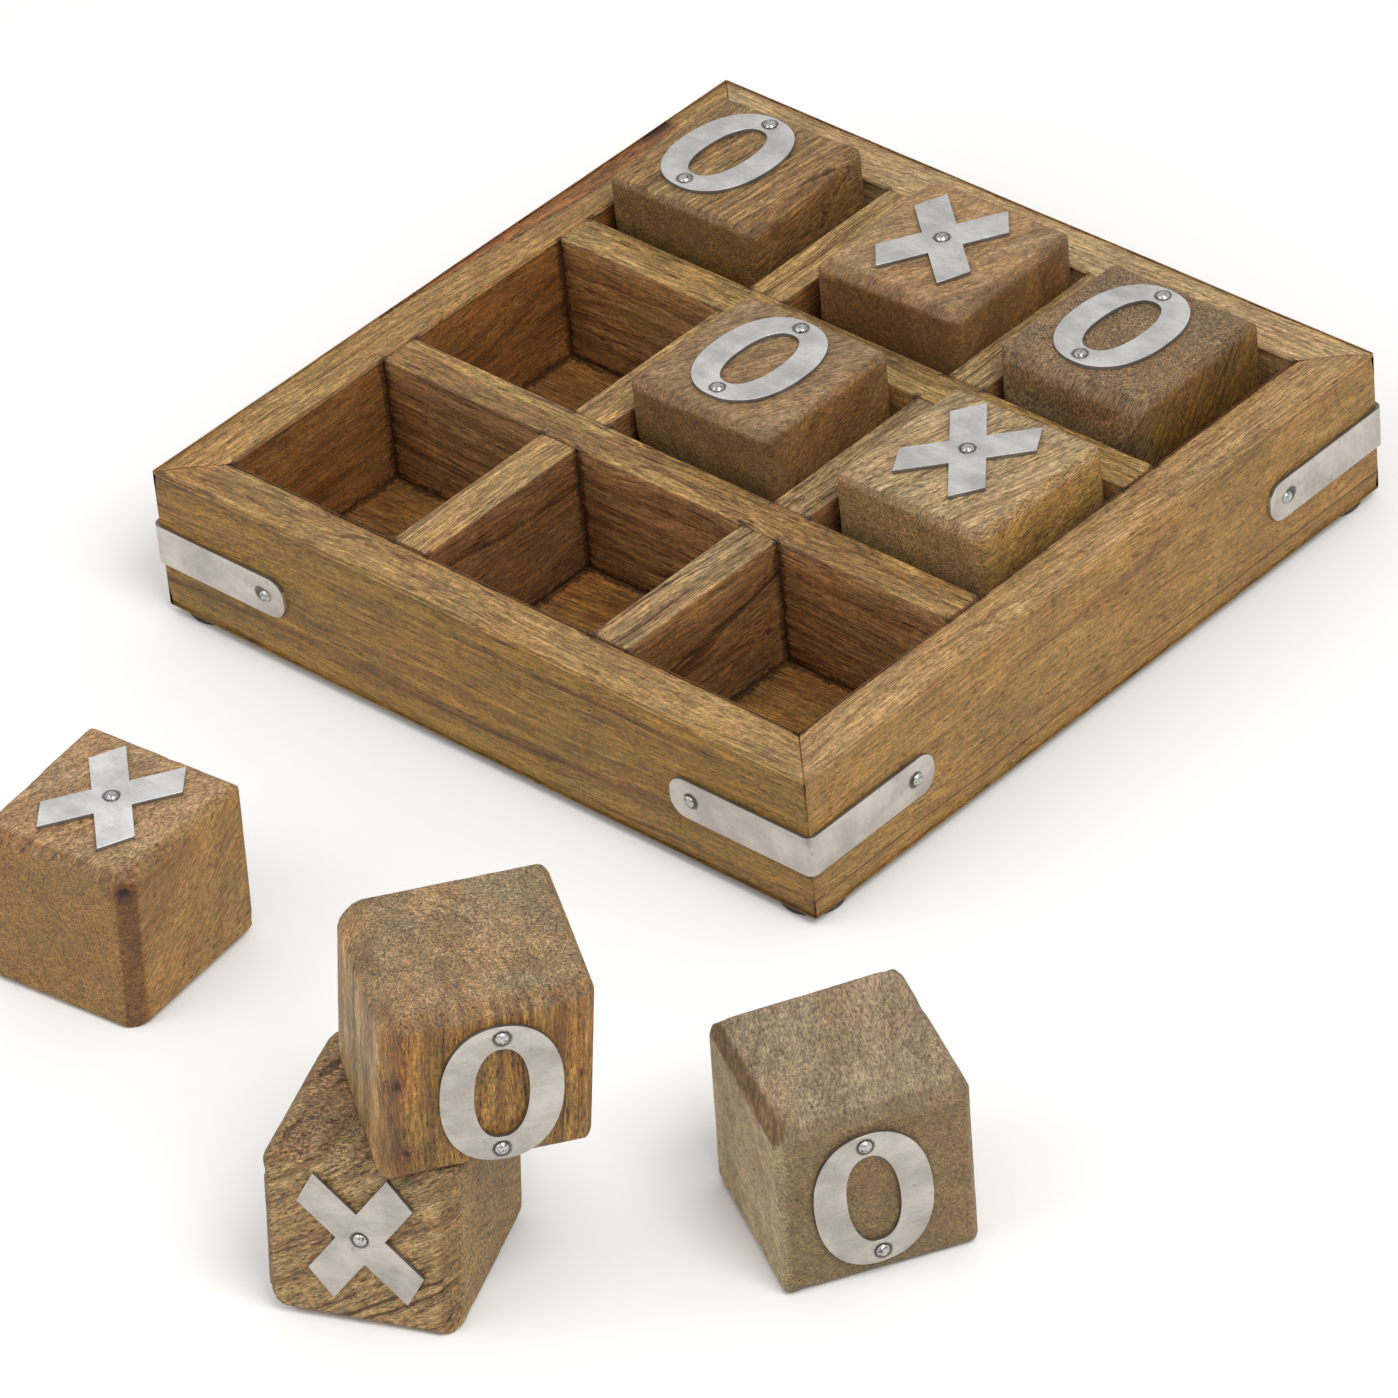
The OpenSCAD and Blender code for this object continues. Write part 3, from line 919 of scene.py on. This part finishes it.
# (node, direction of the grain, look)
RAILS = [
    (
        "rail_front", (1, 0.02, 0.03),
        dict(gap=4.6, streaks=0.6, lines=0.7, flecks=0.8, pores=0.5),
    ),
    (
        "rail_right", (0.02, 1, 0.02),
        dict(gap=5.5, streaks=0.3, lines=0.3, crack=6.5, fibres=0.9),
    ),
    ("rail_back", (1, 0.03, 0.02), dict(gap=5.0, streaks=0.35, lines=0.3, pores=0.5)),
    ("rail_left", (0.03, 1, 0.01), dict(gap=4.4, streaks=0.45, lines=0.4, bark=(0.30, 6.0))),
]
for quarter, (node, grain, look) in enumerate(RAILS):
    finish = wood("wood_" + node, middle(node), grain, 1 + quarter, seam_shade=True, **look)
    new_piece(node, rail_mesh(node, quarter, SHADED_TONES[node], 1 + quarter), finish)

# (node, direction of the grain, gap, streaks, lines, fibres)
DIVIDERS = [
    ("long_divider_front", (1, 0.01, 0), 3.6, 0.65, 0.8, 1.2),
    ("long_divider_back", (1, 0.02, 0.01), 4.4, 0.65, 0.7, 1.2),
    ("cross_divider_left", (0.02, 1, 0), 4.4, 0.6, 0.7, 1.2),
    ("cross_divider_right", (0.02, 1, 0.01), 3.4, 0.6, 1.0, 1.15),
]
for seed, (node, grain, gap, streaks, lines, fibres) in enumerate(DIVIDERS, 6):
    finish = wood(
        "wood_" + node, middle(node), grain, seed, seam_shade=True,
        gap=gap, streaks=streaks, lines=lines, flecks=1.0, fibres=fibres,
    )
    mesh = softened(node, width=0.35, segments=2, step=7.0, wobble=0.10, seed=seed)
    paint_shaded_by_normal(mesh, SHADED_TONES[node])
    new_piece(node, mesh, finish)

PANEL_SEED = 11
finish = wood(
    "wood_base_panel", middle("base_panel"), (1, 0.05, 0), PANEL_SEED, seam_shade=True,
    gap=5.0, streaks=0.3, blotches=0.9, pores=0.4,
)
mesh = softened("base_panel", width=0.2, segments=1, step=6.0, wobble=0.12, seed=PANEL_SEED)
paint_shaded_by_normal(mesh, SHADED_TONES["base_panel"])
new_piece("base_panel", mesh, finish)

# Each block has its own grain, saw cuts and wear. A grain runs along the block's own
# right, back and up directions. wide is as in block_planes. A knot is (edge that it lies
# by, mm from there to the right, further offset in mm, radius in mm, darkness).
BLOCKS = {
    "back_left": dict(
        grain=(0.08, 1, 0.05),
        look=dict(gap=2.4, streaks=0.7, lines=0.9, flecks=0.9, pith=(20, 30), fibres=1.2),
        wide=[("top", "right", 2.2, 0.3)],
    ),
    "back_middle": dict(
        grain=(0.45, 1, 0.25),
        look=dict(gap=5.0, streaks=0.45, lines=0.3, pores=0.35, flecks=0.4, fibres=0.85),
        wide=[("top", "front", 2.0, 0.2), ("top", "left", 2.4, 0.3)],
    ),
    "back_right": dict(
        grain=(0.3, 0.6, 1),
        look=dict(gap=3.5, streaks=0.5, lines=0.6, flecks=0.9, pores=0.8, fibres=1.25),
        wide=[("top", "front", 2.2, 0.4)],
    ),
    "centre": dict(
        grain=(0.5, 1, 0.15),
        look=dict(gap=4.5, streaks=0.4, lines=0.4, flecks=0.5, fibres=0.9),
        wide=[("top", "front", 1.7, 0.3)],
    ),
    "middle_right": dict(
        grain=(0.25, 1, 0.1),
        look=dict(gap=3.6, streaks=0.4, lines=0.3, flecks=0.8, fibres=1.15),
        wide=[("top", "right", 1.6, 0.3)],
    ),
    "table_left": dict(
        grain=(0.25, 1, 0.45),
        look=dict(gap=3.6, streaks=0.35, lines=0.5, flecks=0.8),
        wide=[
            ("front", "right", 3.3, 0.85), ("top", "front", 2.2, 0.5),
            ("top", "right", 2.0, 0.3),
        ],
        knots=[
            (("front", "right"), 0.0, (-1.2, 1.2, 15.0), 2.2, 1.0),
            (("front", "right"), 0.0, (0.5, 4.0, 18.0), 3.0, 0.5),
        ],
    ),
    "stack_lower": dict(
        grain=(1, 0.22, 0.68),
        look=dict(
            gap=3.0, streaks=0.7, lines=1.0, flecks=1.0, pores=0.8, fibres=1.4,
            fleck_scale=0.9, warp=3.0,
        ),
        wide=[
            ("front", "right", 3.2, 0.5), ("bottom", "left", 5.0, 0.3),
            ("front", "left", 1.4, 0.7), ("top", "front", 2.0, 0.3),
        ],
    ),
    "stack_upper": dict(
        grain=(0.05, 0.1, 1),
        look=dict(gap=2.6, streaks=0.8, lines=1.0, flecks=1.0, blotches=0.8, fibres=1.1),
        wide=[
            ("front", "left", 3.4, 0.6), ("top", "front", 2.8, 0.2),
            ("top", "left", 3.6, 0.35),
        ],
        knots=[
            (("front", "left"), 3.0, (0, 0, 3.0), 1.8, 0.9),
            (("front", "left"), 3.5, (0, 0, -13.0), 1.7, 0.8),
        ],
    ),
    "table_right": dict(
        grain=(0.3, 1, 0.25),
        look=dict(
            gap=5.0, streaks=0.3, lines=0.3, flecks=0.6, pores=0.5, blotches=0.45,
            fibres=0.8,
        ),
        wide=[("top", "left", 2.6, 0.9), ("top", "front", 2.4, 0.4)],
    ),
}
for seed, (place, spec) in enumerate(BLOCKS.items(), 21):
    node = "block_" + place
    faces = main_planes(node)
    directions = zip(("right", "back", "top"), spec["grain"])
    grain = total(faces[face][0] * share for face, share in directions)
    knots = []
    for edge, inset, offset, radius, darkness in spec.get("knots", ()):
        spot = middle(node) + total(faces[face][0] * faces[face][1] for face in edge)
        spot = spot + faces["right"][0] * inset * MM + Vector(offset) * MM
        knots.append((spot, radius, darkness))
    finish = wood("wood_" + node, middle(node), grain, seed, knots=knots, **spec["look"])
    new_piece(node, sanded_block(node, seed, SHADED_BLOCK_TONES[place], spec["wide"]), finish)

# One grey metal in lit and shaded copies: painted shade darkens the upright plates, and painted
# light brightens the level ones, table_left's most.
SHADED_UPRIGHT_PLATE = (0.46, 0.425, 0.375)
LIT_LEVEL_PLATE = (0.60, 0.59, 0.575)
BRIGHTER_LIT_PLATE = (0.72, 0.71, 0.70)
STRAP = (0.50, 0.46, 0.41)
CUT_LEAN = 0.35  # how far a cut edge's normal may lean out of its plate
HEAD_SLICE = 0.3 * MM  # the outermost part of a nail's head, which gives its place
HEAD_HEIGHT = 0.6 * MM  # from there down to the sheet

steel = nail_steel("bright_steel")
for seed, place in enumerate(BLOCKS, 41):
    plate, nails = "plate_" + place, "nails_" + place
    offset = (middle(plate) - middle("block_" + place)).normalized()
    normals = [normal for normal, _ in main_planes("block_" + place).values()]
    outward = max(normals, key=offset.dot)
    heads = []
    for solid in separate_solids(nails):
        reach = max(spot.dot(outward) for spot in solid)
        top = [spot for spot in solid if spot.dot(outward) > reach - HEAD_SLICE]
        heads.append(total(top) / len(top) - outward * HEAD_HEIGHT)
    turn = outward.to_track_quat("Z", "Y").to_euler()
    # Painted light and shade: the plate's grey depends on which way it faces.
    if abs(outward.z) < 0.5:
        tint = SHADED_UPRIGHT_PLATE
    elif place == "table_left":
        tint = BRIGHTER_LIT_PLATE
    else:
        tint = LIT_LEVEL_PLATE
    finish = sheet_metal("sheet_" + plate, middle(plate), turn, seed, heads, tint)
    mesh = sheet_mesh(plate, lambda normal: abs(normal.dot(outward)) < CUT_LEAN)
    new_piece(plate, mesh, finish)
    new_piece(nails, nail_mesh(nails, seed), steel)

rubber = foot_rubber("dark_rubber")
for seed, corner in enumerate(("front_right", "back_right", "back_left", "front_left"), 61):
    strap, nails, foot = "strap_" + corner, "strap_nails_" + corner, "foot_" + corner
    heads = []
    for solid in separate_solids(nails):
        heads.append(max(solid, key=lambda spot: (spot - middle("base_panel")).length))
    finish = sheet_metal("sheet_" + strap, middle(strap), (0, 0, 0), seed, heads, STRAP)
    new_piece(strap, sheet_mesh(strap, lambda normal: abs(normal.z) > 0.5), finish)
    new_piece(nails, nail_mesh(nails, seed), steel)
    mesh = softened(foot, width=0.45, segments=3, wobble=0.05, seed=seed)
    new_piece(foot, mesh, rubber)

# ---- Studio ----

FLOOR_HALF = 3.0
WORLD_COLOUR, WORLD_STRENGTH = colour(1.0, 0.995, 0.985), 0.74

tray_foot = middle("base_panel")
tray_foot.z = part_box("base_panel")[0][2]

floor_mesh = bpy.data.meshes.new("studio_floor")
floor_sides = ((-1, -1), (1, -1), (1, 1), (-1, 1))
floor_mesh.from_pydata(
    [(x * FLOOR_HALF, y * FLOOR_HALF, cad_box[0][2]) for x, y in floor_sides],
    [], [(0, 1, 2, 3)],
)
floor_mesh.materials.append(studio_floor("white_paper"))
floor = bpy.data.objects.new("studio_floor", floor_mesh)
bpy.context.scene.collection.objects.link(floor)

world = bpy.data.worlds.new("studio")
world.use_nodes = True
background = world.node_tree.nodes["Background"]
background.inputs["Color"].default_value = WORLD_COLOUR
background.inputs["Strength"].default_value = WORLD_STRENGTH
bpy.context.scene.world = world
bpy.context.scene.view_settings.view_transform = "Standard"


def soft_light(name, place, size, power):
    """A square area light at that place, aimed at the tray."""
    data = bpy.data.lights.new(name, "AREA")
    data.shape = "SQUARE"
    data.size = size
    data.energy = power
    lamp = bpy.data.objects.new(name, data)
    lamp.location = place
    lamp.rotation_euler = (tray_foot - Vector(place)).to_track_quat("-Z", "Y").to_euler()
    bpy.context.scene.collection.objects.link(lamp)


soft_light("key", (1.0, -0.25, 1.5), size=0.9, power=16.0)
soft_light("fill", (-0.7, -1.2, 1.2), size=1.2, power=6.0)

# The camera, from the tray's middle at its underside: a long lens, rolled a little.
AZIMUTH, ELEVATION, ROLL = (math.radians(angle) for angle in (44.986, 36.866, -5.498))
CAMERA_OFFSET = Vector((1.042693, -1.069548, 1.082435))
SENSOR_MM, LENS_MM = 36.0, 229.63
ahead = Vector((
    -math.sin(AZIMUTH) * math.cos(ELEVATION),
    math.cos(AZIMUTH) * math.cos(ELEVATION),
    -math.sin(ELEVATION),
))
level = Vector((math.cos(AZIMUTH), math.sin(AZIMUTH), 0))
rise = level.cross(ahead)
right = level * math.cos(ROLL) + rise * math.sin(ROLL)
up = rise * math.cos(ROLL) - level * math.sin(ROLL)
lens = bpy.data.cameras.new("camera")
lens.sensor_width = SENSOR_MM
lens.lens = LENS_MM
lens.clip_start = 0.05
camera = bpy.data.objects.new("camera", lens)
placed = Matrix((right, up, -ahead)).transposed().to_4x4()
placed.translation = tray_foot + CAMERA_OFFSET
camera.matrix_world = placed
bpy.context.scene.collection.objects.link(camera)
bpy.context.scene.camera = camera
